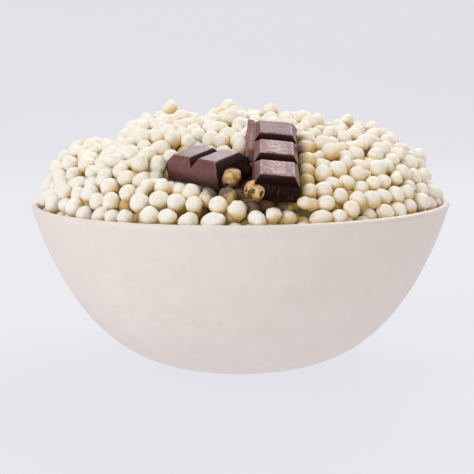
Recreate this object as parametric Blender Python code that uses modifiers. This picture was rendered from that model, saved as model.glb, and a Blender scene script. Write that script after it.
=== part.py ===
"""A ceramic bowl heaped with puffed cereal balls, with two pieces of hazelnut chocolate bar lying on top.

Metres, +Z up. The origin is the centre of the bowl's base, and the front is towards -Y.
"""

import math

import bmesh
import bpy
import numpy as np
from mathutils import Matrix, Vector

MM = 0.001

# Bowl
RIM_RADIUS = 90 * MM
BOWL_HEIGHT = 71.5 * MM
FOOT_RADIUS = 26 * MM
PROFILE_START = 5 * MM
PROFILE_WIDTH_POWER = 0.622
PROFILE_HEIGHT_POWER = 1.732
LIP_WALL = 3.0 * MM
SIDE_WALL = 5.0 * MM
FLOOR_THICKNESS = 6.5 * MM
# Where the wall curves into the foot outside and into the floor inside
FOOT_CURVE = 3 * MM
FOOT_EDGE = (1.2 * MM, 0.3 * MM)
FLOOR_CURVE = 5 * MM
FLOOR_STEP = 0.8 * MM
PROFILE_CROWDING = 1.35
BOWL_SEGMENTS = 44
PROFILE_STEPS = 12
INNER_STEPS = 9
LIP_STEPS = 5

# Mound that the centres of the top balls lie on, with heights above the rim
MOUND_RADIUS = 84.5 * MM
MOUND_CREST = 35.5 * MM
CREST_DEPTH = 30 * MM
MOUND_SIDE_POWER = 2.6
MOUND_SLOPE_POWER = 1.5
MOUND_FALL_POWER = 0.8
# Each rise or dip of the crest: place along X, rise, spread
CREST_FEATURES = (
    (-83.5 * MM, -9.0 * MM, 3.5 * MM),
    (-78 * MM, 3.5 * MM, 4 * MM),
    (-73 * MM, -4.0 * MM, 3.5 * MM),
    (-54 * MM, -7.0 * MM, 8 * MM),
    (-43 * MM, 2.0 * MM, 4 * MM),
    (-29 * MM, 2.0 * MM, 7 * MM),
    (-17 * MM, -2.5 * MM, 7 * MM),
    (-6 * MM, 2.5 * MM, 4 * MM),
    (16 * MM, -1.5 * MM, 9 * MM),
    (38 * MM, -4.0 * MM, 5 * MM),
    (51 * MM, -2.0 * MM, 4.5 * MM),
    (69 * MM, -2.0 * MM, 3.5 * MM),
    (81 * MM, -9.0 * MM, 4 * MM),
)

# Cereal balls
BALL_SLOTS = 560
BALL_COUNT = 257
BALL_RADIUS = 3.5 * MM
BALL_SPREAD = 0.07
SIZE_LIMIT = 1.8
BALL_GAP = 0.3 * MM
TRIAL_POINTS = 9000
PUSH_SHARE = 0.3
SLACK = 0.1 * MM
# A surface point is found by halving the way out from the heap's middle
FARTHEST = 150 * MM
HALVINGS = 20
# A ball's points are a little inside its round surface, so that neighbours don't cross
FACET_SIZE = 0.99
BALL_SEED = 11
SETTLING_ROUNDS = 70
# How far a ball stands out of the layer or lies low in it
UNEVENNESS = 0.75 * MM
LIFT_LIMIT = 1.5
# Height above the rim where balls start to stand out, and the length over which they come to do so
FREE_FROM = 4 * MM
FREE_OVER = 6 * MM
# The balls that stand out most: place along X and Y, and how far
PEAKS = (
    (-68 * MM, 0 * MM, 2.0 * MM),
    (-29 * MM, 2 * MM, 3.2 * MM),
    (-5 * MM, 2 * MM, 1.6 * MM),
    (13 * MM, 2 * MM, 3.8 * MM),
    (45 * MM, 0 * MM, 2.4 * MM),
    (56 * MM, 0 * MM, 2.2 * MM),
    (75.5 * MM, 0 * MM, 2.0 * MM),
    (-38 * MM, -30 * MM, 2.0 * MM),
    (-60 * MM, -34 * MM, 1.8 * MM),
    (34 * MM, -44 * MM, 2.0 * MM),
    (62 * MM, -28 * MM, 2.0 * MM),
    (10 * MM, 46 * MM, 2.0 * MM),
    (-40 * MM, 38 * MM, 2.2 * MM),
    (48 * MM, 40 * MM, 2.0 * MM),
)
# In the solids no ball stands out further than this, so that it stays joined to the core
FUSED_LIFT = 0.9 * MM
LOWEST_CENTRE = 0.6 * MM
# Round the chocolate the balls lie lower on its front side and rise steeply behind it
FACING_GAIN = 1.2
HOLLOW_DROP = 2.2 * MM
HOLLOW_REACH = 3 * MM
FRONT_SLOPE = 0.5
BACK_SLOPE = 1.6
# A centre can lie this far out beside the lip, and further out once it is above it
EDGE_RADIUS = 82.1 * MM
EDGE_WIDENING = 2.6 * MM
EDGE_START = 0.5 * MM
EDGE_RISE = 3.5 * MM
CORE_DROP = 1.0 * MM
CORE_INSET = 1.5 * MM
CORE_START = 10 * MM
# The core starts as a small ball round the heap's middle, with finer faces above this height of it
CORE_FINE_ABOVE = 2 * MM
# The faces within this distance of the chocolate are made finer again
NEAR_CHOCOLATE = 8 * MM
WALL_GAP = 0.6 * MM

# Chocolate
SEGMENT_PITCH = 14.7 * MM
SEGMENT_WIDTH = 17.0 * MM
CHOCOLATE_THICKNESS = 9.7 * MM
# How far the sides have come in at the segments' tops, and at the bottom of the grooves
SIDE_INSET = 2.4 * MM
DRAFT_INSET = 0.3 * MM
GROOVE_HALF_WIDTH = 2.7 * MM
GROOVE_DEPTH = 2.9 * MM
# Each piece: its broken end's lower left corner, its yaw, pitch and roll in degrees, and its segments
PIECES = {
    "chocolate_left": ((-7.7 * MM, -69.8 * MM, BOWL_HEIGHT + 10.7 * MM), (43.2, 4.1, -14.6), 2),
    "chocolate_bar": ((3.9 * MM, -76.0 * MM, BOWL_HEIGHT + 7.8 * MM), (-1.1, 27.4, 6.4), 3),
}
# Each nut: the piece it sits in, its centre in that piece's frame, and its half sizes
NUTS = {
    "hazelnut_left": ("chocolate_left", (6.6 * MM, 0.6 * MM, 2.6 * MM), (4.6 * MM, 4.2 * MM, 3.6 * MM)),
    "hazelnut_bar": ("chocolate_bar", (0.8 * MM, 1.2 * MM, 2.9 * MM), (3.8 * MM, 4.2 * MM, 3.6 * MM)),
}
NUT_SIDES = 10
NUT_RINGS = 7
NUT_TAPER = 0.08
NUT_GAP = 0.3 * MM
# Remains of the next row along the bar's left side, lower at the near end
FIN_WIDTH = 2.3 * MM
FIN_LOW = 0.2 * MM
FIN_HEIGHT = 9 * MM
FIN_FALL = 2.5 * MM
FIN_LEAN = 0.3 * MM
FIN_ROOT = 1.5 * MM
FIN_RANGE = (24 * MM, 42 * MM)
# Between the heap and what lies in it
PIECE_GAP = 0.35 * MM
POCKET_HEIGHT = 40 * MM
REST_DEPTH = 9 * MM
REST_INSET = 1.5 * MM
SHARP_ANGLE = 40


def clear_scene():
    for thing in list(bpy.data.objects):
        bpy.data.objects.remove(thing, do_unlink=True)


def new_collection(name, hidden=False):
    group = bpy.data.collections.new(name)
    bpy.context.scene.collection.children.link(group)
    group.hide_render = hidden
    return group


def new_material(name, colour, roughness):
    material = bpy.data.materials.new(name)
    material.use_nodes = True
    shader = material.node_tree.nodes["Principled BSDF"]
    shader.inputs["Base Color"].default_value = (*colour, 1)
    shader.inputs["Roughness"].default_value = roughness
    shader.inputs["Metallic"].default_value = 0
    return material


def new_object(name, mesh, group, material=None):
    thing = bpy.data.objects.new(name, mesh)
    group.objects.link(thing)
    if material:
        mesh.materials.append(material)
    return thing


def mesh_from(shape, name):
    bmesh.ops.recalc_face_normals(shape, faces=shape.faces)
    mesh = bpy.data.meshes.new(name)
    shape.to_mesh(mesh)
    shape.free()
    return mesh


def cutter_object(name, mesh, group):
    cutter = new_object(name, mesh, group)
    cutter.hide_render = True
    cutter.display_type = "WIRE"
    return cutter


def add_boolean(thing, operation, other):
    modifier = thing.modifiers.new(operation.title(), "BOOLEAN")
    modifier.operation = operation
    modifier.solver = "EXACT"
    if isinstance(other, bpy.types.Collection):
        modifier.operand_type = "COLLECTION"
        modifier.collection = other
    else:
        modifier.object = other
    return modifier


def apply_modifiers(thing):
    graph = bpy.context.evaluated_depsgraph_get()
    graph.update()
    mesh = bpy.data.meshes.new_from_object(thing.evaluated_get(graph))
    thing.modifiers.clear()
    thing.data = mesh


def outer_profile(steps):
    """Evenly spaced points (radius, height) of the bowl's outer side, from its foot to its rim."""
    turns = np.linspace(0, math.pi / 2, 400)
    radius = PROFILE_START + (RIM_RADIUS - PROFILE_START) * np.sin(turns) ** PROFILE_WIDTH_POWER
    height = BOWL_HEIGHT * (1 - np.clip(np.cos(turns), 0, 1) ** PROFILE_HEIGHT_POWER)
    curve = np.stack([radius, height], axis=1)[radius > FOOT_RADIUS + FOOT_CURVE]
    length = np.concatenate([[0], np.cumsum(np.linalg.norm(np.diff(curve, axis=0), axis=1))])
    # More of the points are spent low down, where the curve bends most
    wanted = length[-1] * np.linspace(0, 1, steps) ** PROFILE_CROWDING
    return np.stack([np.interp(wanted, length, curve[:, 0]), np.interp(wanted, length, curve[:, 1])], axis=1)


def inner_profile(steps):
    """Points of the inner side, from the floor's edge to the lip: the outer side moved in by the wall."""
    outer = outer_profile(steps)
    along = np.gradient(outer, axis=0)
    along /= np.linalg.norm(along, axis=1)[:, None]
    share = outer[:, 1] / BOWL_HEIGHT
    wall = SIDE_WALL + (LIP_WALL - SIDE_WALL) * share
    inner = outer + np.stack([-along[:, 1], along[:, 0]], axis=1) * wall[:, None]
    return inner[inner[:, 1] > FLOOR_THICKNESS + FLOOR_STEP]


def inner_radius(height):
    profile = inner_profile(INNER_STEPS)
    return np.interp(height, profile[:, 1], profile[:, 0])


def make_bowl(group, material):
    outer = outer_profile(PROFILE_STEPS)
    inner = inner_profile(INNER_STEPS)
    lip = LIP_WALL / 2
    outer = outer[outer[:, 1] < BOWL_HEIGHT - lip]
    inner = inner[inner[:, 1] < BOWL_HEIGHT - lip]
    profile = [(0, FLOOR_THICKNESS), (inner[0, 0] - FLOOR_CURVE, FLOOR_THICKNESS)]
    profile += [tuple(point) for point in inner]
    for turn in np.linspace(math.pi, 0, LIP_STEPS):
        profile.append((RIM_RADIUS - lip + lip * math.cos(turn), BOWL_HEIGHT - lip + lip * math.sin(turn)))
    profile += [tuple(point) for point in outer[::-1]]
    profile += [(FOOT_RADIUS + FOOT_EDGE[0], FOOT_EDGE[1]), (FOOT_RADIUS, 0), (0, 0)]
    shape = bmesh.new()
    corners = [shape.verts.new((radius, 0, height)) for radius, height in profile]
    for first, second in zip(corners, corners[1:]):
        shape.edges.new((first, second))
    mesh = bpy.data.meshes.new("bowl")
    shape.to_mesh(mesh)
    shape.free()
    bowl = new_object("bowl", mesh, group, material)
    screw = bowl.modifiers.new("Screw", "SCREW")
    screw.steps = BOWL_SEGMENTS
    screw.render_steps = BOWL_SEGMENTS
    screw.use_merge_vertices = True
    screw.merge_threshold = 0.00005
    screw.use_smooth_shade = True
    return bowl


def piece_axes(name):
    """A piece's corner, and its axes as columns: across, away from the broken end, and up."""
    corner, angles, _ = PIECES[name]
    yaw, pitch, roll = (math.radians(angle) for angle in angles)
    turn = Matrix.Rotation(yaw, 3, "Z") @ Matrix.Rotation(pitch, 3, "X") @ Matrix.Rotation(roll, 3, "Y")
    return np.array(corner), np.array(turn)


def piece_size(name):
    return np.array([SEGMENT_WIDTH, PIECES[name][2] * SEGMENT_PITCH, CHOCOLATE_THICKNESS])


def mound_height(x, y):
    """Height above the rim of the surface through the top balls' centres, before the chocolate's hollow."""
    side = np.clip(1 - np.abs(x / MOUND_RADIUS) ** MOUND_SIDE_POWER, 0, 1)
    crest = MOUND_CREST * np.sqrt(side)
    for place, rise, spread in CREST_FEATURES:
        crest = crest + rise * np.exp(-(((x - place) / spread) ** 2)) * np.exp(-((y / CREST_DEPTH) ** 2))
    half = np.sqrt(np.clip(MOUND_RADIUS**2 - x**2, 1e-8, None))
    share = np.clip(np.abs(y) / half, 0, 1)
    return crest * (1 - share**MOUND_SLOPE_POWER) ** MOUND_FALL_POWER


def centre_height(x, y):
    """As mound_height, lowered where the chocolate lies, so that it rests in the balls."""
    height = mound_height(x, y)
    reach = BALL_RADIUS + BALL_GAP
    for name in PIECES:
        corner, axes = piece_axes(name)
        size = piece_size(name)
        up = axes[:, 2]
        plane = corner[2] - (up[0] * (x - corner[0]) + up[1] * (y - corner[1])) / up[2]
        offset = np.stack([x - corner[0], y - corner[1], plane - corner[2]], axis=-1) @ axes
        across = offset[..., 0] - np.clip(offset[..., 0], 0, size[0])
        along = offset[..., 1] - np.clip(offset[..., 1], 0, size[1])
        away = np.hypot(across, along)
        facing = (across * axes[1, 0] + along * axes[1, 1]) / np.maximum(away, 1e-6)
        front = np.clip(0.5 - FACING_GAIN * facing, 0, 1)
        front = np.where(away < 1e-6, 1, front)
        below = np.sqrt(np.clip(reach**2 - away**2, 0, None)) * front
        drop = HOLLOW_DROP * front * np.clip(away / HOLLOW_REACH, 0, 1)
        slope = BACK_SLOPE + (FRONT_SLOPE - BACK_SLOPE) * front
        limit = plane - BOWL_HEIGHT - (below + drop) / up[2] + slope * np.clip(away - reach * front, 0, None)
        height = np.minimum(height, limit)
    return height


def edge_radius(height):
    """How far out a ball's centre can lie at a height above the rim, so that it clears the lip."""
    return EDGE_RADIUS + EDGE_WIDENING * np.clip((height - EDGE_START) / EDGE_RISE, 0, 1)


def inside_centres(points):
    x, y = points[..., 0], points[..., 1]
    above = points[..., 2] - BOWL_HEIGHT
    return (np.hypot(x, y) < edge_radius(above)) & (above < centre_height(x, y))


def inside_core(points):
    x, y = points[..., 0], points[..., 1]
    above = points[..., 2] - BOWL_HEIGHT
    room = np.minimum(inner_radius(points[..., 2]) - WALL_GAP, MOUND_RADIUS - CORE_INSET)
    floor = points[..., 2] > FLOOR_THICKNESS + WALL_GAP
    return (np.hypot(x, y) < room) & (above < centre_height(x, y) - CORE_DROP) & floor


HEAP_MIDDLE = np.array([0, 0, BOWL_HEIGHT - 25 * MM])


def surface_points(directions, inside):
    """Where each direction from the heap's middle leaves the given region."""
    low = np.zeros(len(directions))
    high = np.full(len(directions), FARTHEST)
    for _ in range(HALVINGS):
        middle = (low + high) / 2
        within = inside(HEAP_MIDDLE + directions * middle[:, None])
        low = np.where(within, middle, low)
        high = np.where(within, high, middle)
    return HEAP_MIDDLE + directions * low[:, None]


def unit(vectors):
    return vectors / np.maximum(np.linalg.norm(vectors, axis=-1, keepdims=True), 1e-12)


def box_offsets(points, name):
    """From the nearest point of a chocolate piece to each point, and how far that is."""
    corner, axes = piece_axes(name)
    local = (points - corner) @ axes
    nearest = np.clip(local, 0, piece_size(name))
    offset = (local - nearest) @ axes.T
    return offset, np.linalg.norm(offset, axis=1)


def nut_centre(name):
    piece, centre, _ = NUTS[name]
    corner, axes = piece_axes(piece)
    return corner + axes @ np.array(centre)


def freedom(centres):
    """From 0 beside the lip and the chocolate, where balls keep to the layer, to 1 away from them."""
    share = np.clip((centres[:, 2] - BOWL_HEIGHT - FREE_FROM) / FREE_OVER, 0, 1)
    for name in PIECES:
        share = share * np.clip((box_offsets(centres, name)[1] - FREE_OVER) / FREE_OVER, 0, 1)
    return share


def settled_balls():
    """The heap's top layer, packed with a seeded relaxation: centres, radii, spins and lifts."""
    random = np.random.default_rng(BALL_SEED)
    trial = unit(random.normal(size=(TRIAL_POINTS, 3)))
    points = surface_points(trial, inside_centres)
    points = points[points[:, 2] > BOWL_HEIGHT + LOWEST_CENTRE - 2 * SLACK]
    chosen = [0]
    distance = np.linalg.norm(points - points[0], axis=1)
    for _ in range(BALL_SLOTS - 1):
        chosen.append(int(np.argmax(distance)))
        distance = np.minimum(distance, np.linalg.norm(points - points[chosen[-1]], axis=1))
    centres = points[chosen]
    radii = BALL_RADIUS * (1 + BALL_SPREAD * np.clip(random.normal(size=BALL_SLOTS), -SIZE_LIMIT, SIZE_LIMIT))
    lifts = UNEVENNESS * np.clip(random.normal(size=BALL_SLOTS), -LIFT_LIMIT, LIFT_LIMIT)
    pinned = {}
    for x, y, lift in PEAKS:
        number = int(np.argmin(np.hypot(centres[:, 0] - x, centres[:, 1] - y)))
        lifts[number] = lift
        pinned[number] = (x, y, BOWL_HEIGHT + centre_height(x, y))
    for _ in range(SETTLING_ROUNDS):
        gaps = centres[:, None] - centres[None]
        apart = np.linalg.norm(gaps, axis=2) + np.eye(BALL_SLOTS)
        wanted = radii[:, None] + radii[None]
        overlap = np.clip(wanted - apart, 0, None) * (1 - np.eye(BALL_SLOTS))
        push = (gaps / apart[..., None] * overlap[..., None]).sum(axis=1) * PUSH_SHARE
        centres = centres + push
        for name in PIECES:
            offset, away = box_offsets(centres, name)
            lack = np.clip(radii + BALL_GAP - away, 0, None)
            centres = centres + unit(offset) * lack[:, None]
        for name, (_, _, half) in NUTS.items():
            offset = centres - nut_centre(name)
            lack = np.clip(radii + max(half) + BALL_GAP - np.linalg.norm(offset, axis=1), 0, None)
            centres = centres + unit(offset) * lack[:, None]
        centres = surface_points(unit(centres - HEAP_MIDDLE), inside_centres)
        for number, place in pinned.items():
            centres[number] = place
        rise = lifts * freedom(centres)
        centres = centres + unit(centres - HEAP_MIDDLE) * rise[:, None]
        centres[:, 2] += np.clip(BOWL_HEIGHT + LOWEST_CENTRE - centres[:, 2], 0, None)
    spins = random.uniform(0, 2 * math.pi, BALL_SLOTS)
    clear = np.ones(BALL_SLOTS, bool)
    for name in PIECES:
        clear &= box_offsets(centres, name)[1] > radii + SLACK
    for name, (_, _, half) in NUTS.items():
        clear &= np.linalg.norm(centres - nut_centre(name), axis=1) > radii + max(half)
    lip_middle = unit(centres[:, :2]) * (RIM_RADIUS - LIP_WALL / 2)
    lip_away = np.hypot(
        np.linalg.norm(centres[:, :2] - lip_middle, axis=1), centres[:, 2] - (BOWL_HEIGHT - LIP_WALL / 2)
    )
    clear &= lip_away > radii + LIP_WALL / 2 + SLACK
    return centres[clear], radii[clear], spins[clear], rise[clear]


def spread_evenly(centres, radii, first, count):
    """The numbers of the balls to keep: the given ones, then large ones far from the rest."""
    size = (radii / BALL_RADIUS) ** 2
    chosen = list(first)
    distance = np.linalg.norm(centres[:, None] - centres[None, chosen], axis=2).min(axis=1)
    while len(chosen) < count:
        chosen.append(int(np.argmax(distance * size)))
        distance = np.minimum(distance, np.linalg.norm(centres - centres[chosen[-1]], axis=1))
    return sorted(chosen)


def keep_shell(mesh):
    """Leaves only the outer surface of a joined mesh: sealed hollows are filled and loose scraps dropped."""
    shape = bmesh.new()
    shape.from_mesh(mesh)
    left = set(shape.verts)
    groups = []
    while left:
        start = left.pop()
        found = {start}
        edge = [start]
        while edge:
            for link in edge.pop().link_edges:
                for vert in link.verts:
                    if vert in left:
                        left.discard(vert)
                        found.add(vert)
                        edge.append(vert)
        groups.append(found)
    biggest = max(groups, key=len)
    scraps = [vert for group in groups if group is not biggest for vert in group]
    bmesh.ops.delete(shape, geom=scraps, context="VERTS")
    shape.to_mesh(mesh)
    shape.free()


def box_shape(low, high):
    shape = bmesh.new()
    size = Vector(high) - Vector(low)
    middle = (Vector(high) + Vector(low)) / 2
    bmesh.ops.create_cube(shape, size=1, matrix=Matrix.Translation(middle) @ Matrix.Diagonal((*size, 1)))
    return shape


def box_mesh(name, low, high):
    return mesh_from(box_shape(low, high), name)


def place_like(thing, piece):
    corner, axes = piece_axes(piece)
    thing.matrix_world = Matrix.Translation(Vector(corner)) @ Matrix([list(row) for row in axes]).to_4x4()


def nut_mesh(name, half, grow):
    """An egg shape, a little narrower at its outer end."""
    shape = bmesh.new()
    bmesh.ops.create_uvsphere(shape, u_segments=NUT_SIDES, v_segments=NUT_RINGS, radius=1)
    for vert in shape.verts:
        x, y, z = vert.co
        taper = 1 + NUT_TAPER * z
        vert.co = (x * taper * (half[0] + grow), z * (half[1] + grow), -y * taper * (half[2] + grow))
    return mesh_from(shape, name)


def make_chocolate(name, group, cutters, material):
    """Segments of a moulded bar, parted by V grooves, with half a groove at each end."""
    width, length, thickness = piece_size(name)
    half = [(0, 0), (DRAFT_INSET, thickness - GROOVE_DEPTH), (SIDE_INSET, thickness)]
    section = half + [(width - x, z) for x, z in reversed(half)]
    shape = bmesh.new()
    face = shape.faces.new([shape.verts.new((x, 0, z)) for x, z in section])
    made = bmesh.ops.extrude_face_region(shape, geom=[face])
    moved = [item for item in made["geom"] if isinstance(item, bmesh.types.BMVert)]
    bmesh.ops.translate(shape, vec=(0, length, 0), verts=moved)
    piece = new_object(name, mesh_from(shape, name), group, material)
    place_like(piece, name)
    # Each cutter is a square bar on its edge, stretched until its lower half matches the groove
    edge_up = Matrix.Rotation(math.pi / 4, 4, "X")
    diagonal = 2 * math.sqrt(2)
    stretch = Matrix.Diagonal((width * 2, GROOVE_HALF_WIDTH * diagonal, GROOVE_DEPTH * diagonal, 1))
    for number in range(PIECES[name][2] + 1):
        shape = bmesh.new()
        bmesh.ops.create_cube(shape, size=1, matrix=stretch @ edge_up)
        at = Vector((width / 2, number * SEGMENT_PITCH, thickness + GROOVE_DEPTH))
        bmesh.ops.translate(shape, vec=at, verts=shape.verts)
        groove = cutter_object(f"{name}_groove_{number}", mesh_from(shape, "groove"), cutters)
        place_like(groove, name)
        add_boolean(piece, "DIFFERENCE", groove)
    return piece


def add_side_fin(piece, cutters):
    """The remains of the next row of segments, standing along the bar's left side."""
    start, end = FIN_RANGE
    shape = box_shape((-FIN_WIDTH, start, FIN_LOW), (0, end, FIN_HEIGHT))
    for vert in shape.verts:
        inner = vert.co.x > -FIN_WIDTH / 2
        if vert.co.z > FIN_HEIGHT / 2:
            vert.co.x += FIN_LEAN
            vert.co.z -= FIN_FALL if vert.co.y < (start + end) / 2 else 0
        elif inner:
            vert.co.x += FIN_ROOT
    fin = cutter_object("bar_fin", mesh_from(shape, "bar_fin"), cutters)
    place_like(fin, "chocolate_bar")
    add_boolean(piece, "UNION", fin)


def add_nut(name, group, cutters, material, chocolate):
    piece, centre, half = NUTS[name]
    nut = new_object(name, nut_mesh(name, half, 0), group, material)
    place_like(nut, piece)
    nut.matrix_world = nut.matrix_world @ Matrix.Translation(centre)
    nut.data.shade_smooth()
    hollow = cutter_object(f"{name}_hollow", nut_mesh("hollow", half, NUT_GAP), cutters)
    hollow.matrix_world = nut.matrix_world.copy()
    add_boolean(chocolate, "DIFFERENCE", hollow)
    return nut


def press_to_core(shape):
    """Moves each point along its direction from the heap's middle onto the core's surface."""
    points = np.array([vert.co[:] for vert in shape.verts])
    for vert, point in zip(shape.verts, surface_points(unit(points - HEAP_MIDDLE), inside_core)):
        vert.co = point


def near_chocolate(edge):
    points = np.array([vert.co[:] for vert in edge.verts])
    distance = np.min([box_offsets(points, name)[1] for name in PIECES], axis=0)
    return distance.max() < NEAR_CHOCOLATE


def make_heap(group, cutters, material):
    shape = bmesh.new()
    start = Matrix.Translation(HEAP_MIDDLE)
    bmesh.ops.create_icosphere(shape, subdivisions=3, radius=CORE_START, matrix=start)
    finer_from = HEAP_MIDDLE[2] + CORE_FINE_ABOVE
    upper = [edge for edge in shape.edges if min(vert.co.z for vert in edge.verts) > finer_from]
    bmesh.ops.subdivide_edges(shape, edges=upper, cuts=1, use_grid_fill=True)
    bmesh.ops.triangulate(shape, faces=shape.faces)
    press_to_core(shape)
    near = [edge for edge in shape.edges if near_chocolate(edge)]
    bmesh.ops.subdivide_edges(shape, edges=near, cuts=1, use_grid_fill=True)
    bmesh.ops.triangulate(shape, faces=shape.faces)
    press_to_core(shape)
    heap = new_object("cereal_heap", mesh_from(shape, "cereal_heap"), group, material)

    joined = new_collection("joined_balls", hidden=True)
    for name in PIECES:
        width, length, _ = piece_size(name)
        low = (REST_INSET, REST_INSET, -REST_DEPTH)
        rest = box_mesh("rest", low, (width - REST_INSET, length - REST_INSET, 1 * MM))
        place_like(new_object(f"{name}_rest", rest, joined), name)
    centres, radii, spins, lifts = settled_balls()
    peaks = np.flatnonzero(lifts > FUSED_LIFT)
    sunk = np.clip(lifts - FUSED_LIFT, 0, None)
    centres = centres - unit(centres - HEAP_MIDDLE) * sunk[:, None]
    for number in spread_evenly(centres, radii, peaks, BALL_COUNT):
        shape = bmesh.new()
        outward = Vector(centres[number] - HEAP_MIDDLE).to_track_quat("Z", "Y").to_matrix().to_4x4()
        spin = Matrix.Rotation(spins[number], 4, "Z")
        place = Matrix.Translation(Vector(centres[number])) @ outward @ spin
        bmesh.ops.create_icosphere(shape, subdivisions=1, radius=radii[number] * FACET_SIZE, matrix=place)
        new_object(f"ball_{number}", mesh_from(shape, "ball"), joined)
    add_boolean(heap, "UNION", joined)
    apply_modifiers(heap)
    for thing in list(joined.objects):
        bpy.data.objects.remove(thing, do_unlink=True)
    bpy.data.collections.remove(joined)

    for name in PIECES:
        size = piece_size(name)
        low = (-PIECE_GAP,) * 3
        high = tuple(size + np.array([PIECE_GAP, PIECE_GAP, POCKET_HEIGHT]))
        pocket = cutter_object(f"{name}_pocket", box_mesh("pocket", low, high), cutters)
        place_like(pocket, name)
        add_boolean(heap, "DIFFERENCE", pocket)
    low = (-FIN_WIDTH - PIECE_GAP, FIN_RANGE[0] - PIECE_GAP, -PIECE_GAP)
    high = (1 * MM, FIN_RANGE[1] + PIECE_GAP, POCKET_HEIGHT)
    pocket = cutter_object("fin_pocket", box_mesh("pocket", low, high), cutters)
    place_like(pocket, "chocolate_bar")
    add_boolean(heap, "DIFFERENCE", pocket)
    for name, (piece, centre, half) in NUTS.items():
        pocket = cutter_object(f"{name}_pocket", nut_mesh("pocket", half, PIECE_GAP), cutters)
        place_like(pocket, piece)
        pocket.matrix_world = pocket.matrix_world @ Matrix.Translation(centre)
        add_boolean(heap, "DIFFERENCE", pocket)
    apply_modifiers(heap)
    keep_shell(heap.data)
    heap.data.shade_smooth()
    heap.data.set_sharp_from_angle(angle=math.radians(SHARP_ANGLE))
    return heap


def main():
    clear_scene()
    group = new_collection("bowl_of_cereal")
    cutters = new_collection("cutters", hidden=True)
    ceramic = new_material("cream_ceramic", (0.74, 0.67, 0.62), 0.45)
    cereal = new_material("cereal", (0.80, 0.66, 0.47), 0.75)
    chocolate = new_material("chocolate", (0.080, 0.032, 0.024), 0.38)
    nut = new_material("hazelnut", (0.45, 0.26, 0.11), 0.6)

    make_bowl(group, ceramic)
    left = make_chocolate("chocolate_left", group, cutters, chocolate)
    bar = make_chocolate("chocolate_bar", group, cutters, chocolate)
    add_side_fin(bar, cutters)
    add_nut("hazelnut_left", group, cutters, nut, left)
    add_nut("hazelnut_bar", group, cutters, nut, bar)
    make_heap(group, cutters, cereal)


main()
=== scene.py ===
"""The looks of the bowl of cereal: glazed ceramic, packed puffed balls and broken hazelnut chocolate."""
import math

import bmesh
import bpy
import numpy as np
from mathutils import Matrix, Vector


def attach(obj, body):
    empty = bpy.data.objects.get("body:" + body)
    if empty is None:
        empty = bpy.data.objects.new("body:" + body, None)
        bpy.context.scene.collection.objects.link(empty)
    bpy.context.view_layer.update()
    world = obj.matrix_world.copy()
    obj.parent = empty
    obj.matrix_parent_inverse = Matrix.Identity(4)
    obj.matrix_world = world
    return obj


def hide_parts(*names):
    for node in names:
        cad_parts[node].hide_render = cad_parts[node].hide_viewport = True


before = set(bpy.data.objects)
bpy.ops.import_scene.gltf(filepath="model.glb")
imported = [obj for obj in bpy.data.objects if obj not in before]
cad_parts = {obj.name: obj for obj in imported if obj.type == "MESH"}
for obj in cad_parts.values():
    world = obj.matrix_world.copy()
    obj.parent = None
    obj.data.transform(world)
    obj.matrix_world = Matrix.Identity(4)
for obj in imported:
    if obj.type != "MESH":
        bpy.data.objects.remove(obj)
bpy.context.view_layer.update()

MM = 0.001

# Sizes shared with the solids
RIM_RADIUS = 90 * MM
BOWL_HEIGHT = 71.5 * MM
FOOT_RADIUS = 26 * MM
PROFILE_START = 5 * MM
PROFILE_WIDTH_POWER = 0.622
PROFILE_HEIGHT_POWER = 1.732
LIP_WALL = 3.0 * MM
SIDE_WALL = 5.0 * MM
FLOOR_THICKNESS = 6.5 * MM
MOUND_RADIUS = 84.5 * MM
MOUND_CREST = 35.5 * MM
CREST_DEPTH = 30 * MM
MOUND_SIDE_POWER = 2.6
MOUND_SLOPE_POWER = 1.5
MOUND_FALL_POWER = 0.8
# Rises and dips along the heap's crest: place, height and spread
CREST_FEATURES = (
    (-83.5 * MM, -9.0 * MM, 3.5 * MM),
    (-78 * MM, 3.5 * MM, 4 * MM),
    (-73 * MM, -4.0 * MM, 3.5 * MM),
    (-54 * MM, -7.0 * MM, 8 * MM),
    (-43 * MM, 2.0 * MM, 4 * MM),
    (-29 * MM, 2.0 * MM, 7 * MM),
    (-17 * MM, -2.5 * MM, 7 * MM),
    (-6 * MM, 2.5 * MM, 4 * MM),
    (16 * MM, -1.5 * MM, 9 * MM),
    (38 * MM, -4.0 * MM, 5 * MM),
    (51 * MM, -2.0 * MM, 4.5 * MM),
    (69 * MM, -2.0 * MM, 3.5 * MM),
    (81 * MM, -9.0 * MM, 4 * MM),
)
BALL_SLOTS = 560
BALL_RADIUS = 3.5 * MM
BALL_SPREAD = 0.07
SIZE_LIMIT = 1.8
BALL_GAP = 0.3 * MM
TRIAL_POINTS = 9000
PUSH_SHARE = 0.3
SLACK = 0.1 * MM
FARTHEST = 150 * MM
HALVINGS = 20
BALL_SEED = 11
SETTLING_ROUNDS = 70
UNEVENNESS = 0.75 * MM
LIFT_LIMIT = 1.5
FREE_FROM = 4 * MM
FREE_OVER = 6 * MM
# Balls that stand out of the heap: place and height
PEAKS = (
    (-68 * MM, 0 * MM, 2.0 * MM),
    (-29 * MM, 2 * MM, 3.2 * MM),
    (-5 * MM, 2 * MM, 1.6 * MM),
    (13 * MM, 2 * MM, 3.8 * MM),
    (45 * MM, 0 * MM, 2.4 * MM),
    (56 * MM, 0 * MM, 2.2 * MM),
    (75.5 * MM, 0 * MM, 2.0 * MM),
    (-38 * MM, -30 * MM, 2.0 * MM),
    (-60 * MM, -34 * MM, 1.8 * MM),
    (34 * MM, -44 * MM, 2.0 * MM),
    (62 * MM, -28 * MM, 2.0 * MM),
    (10 * MM, 46 * MM, 2.0 * MM),
    (-40 * MM, 38 * MM, 2.2 * MM),
    (48 * MM, 40 * MM, 2.0 * MM),
)
LOWEST_CENTRE = 0.6 * MM
HEAP_MIDDLE = np.array([0, 0, BOWL_HEIGHT - 25 * MM])
FACING_GAIN = 1.2
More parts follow.
